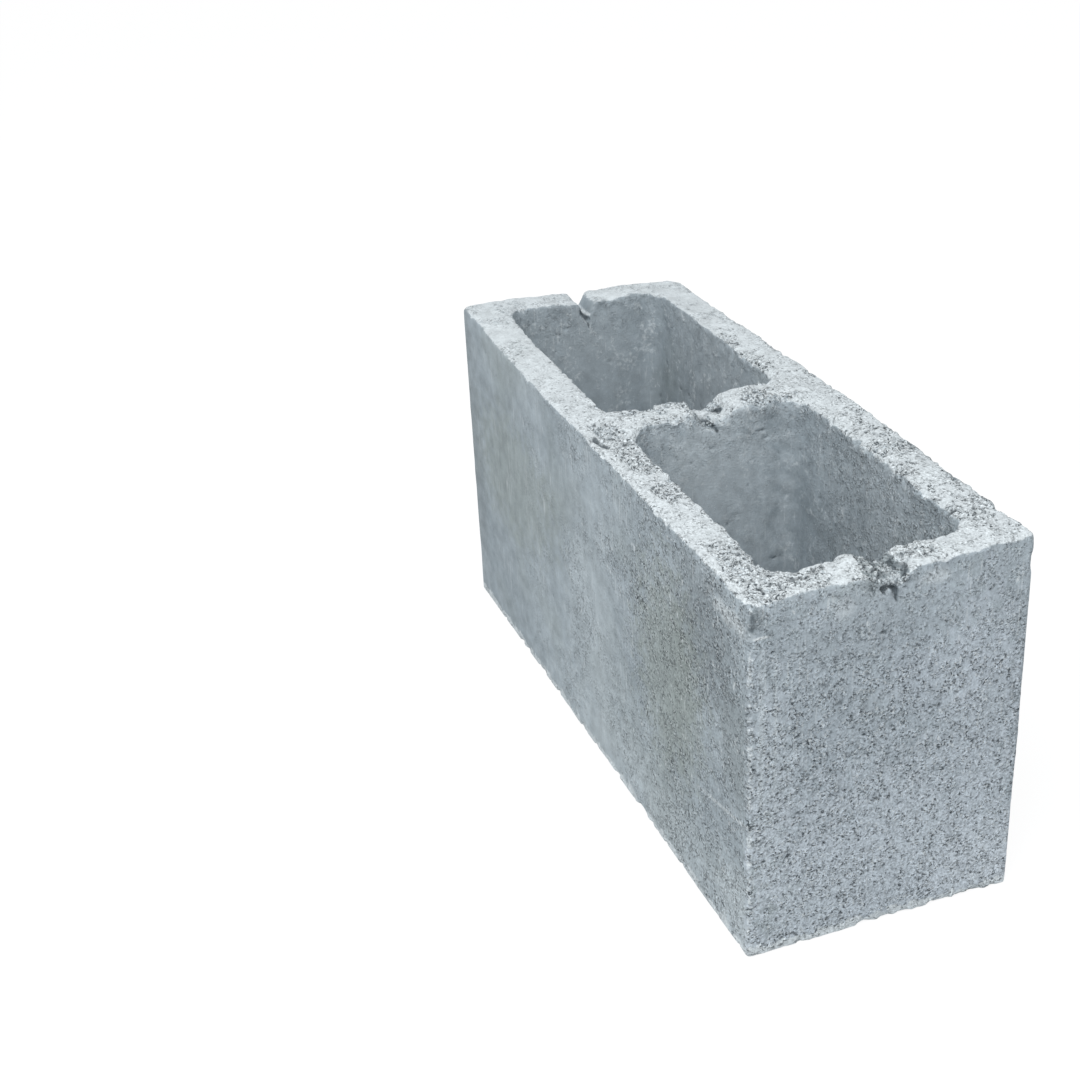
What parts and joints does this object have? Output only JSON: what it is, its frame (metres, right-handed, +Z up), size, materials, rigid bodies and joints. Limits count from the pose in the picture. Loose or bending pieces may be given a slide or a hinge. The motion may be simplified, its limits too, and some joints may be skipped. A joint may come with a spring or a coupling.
{
  "type": "concrete block",
  "caption": "Hollow concrete building block with tapered blind cells open at the top, closed bottoms and core-bar notches across the tops of the webs.",
  "frame": {"origin": "middle of the bottom face, on the surface that the block stands on", "axes": "+X along the block's length, towards the end with the wide ragged notch; +Y across its width; +Z up, out of the cells' mouths"},
  "size_m": [0.39, 0.14, 0.19],
  "materials": {
    "concrete": "matte"
  },
  "bodies": {
    "root": {"block": "concrete"}
  },
  "joints": []
}
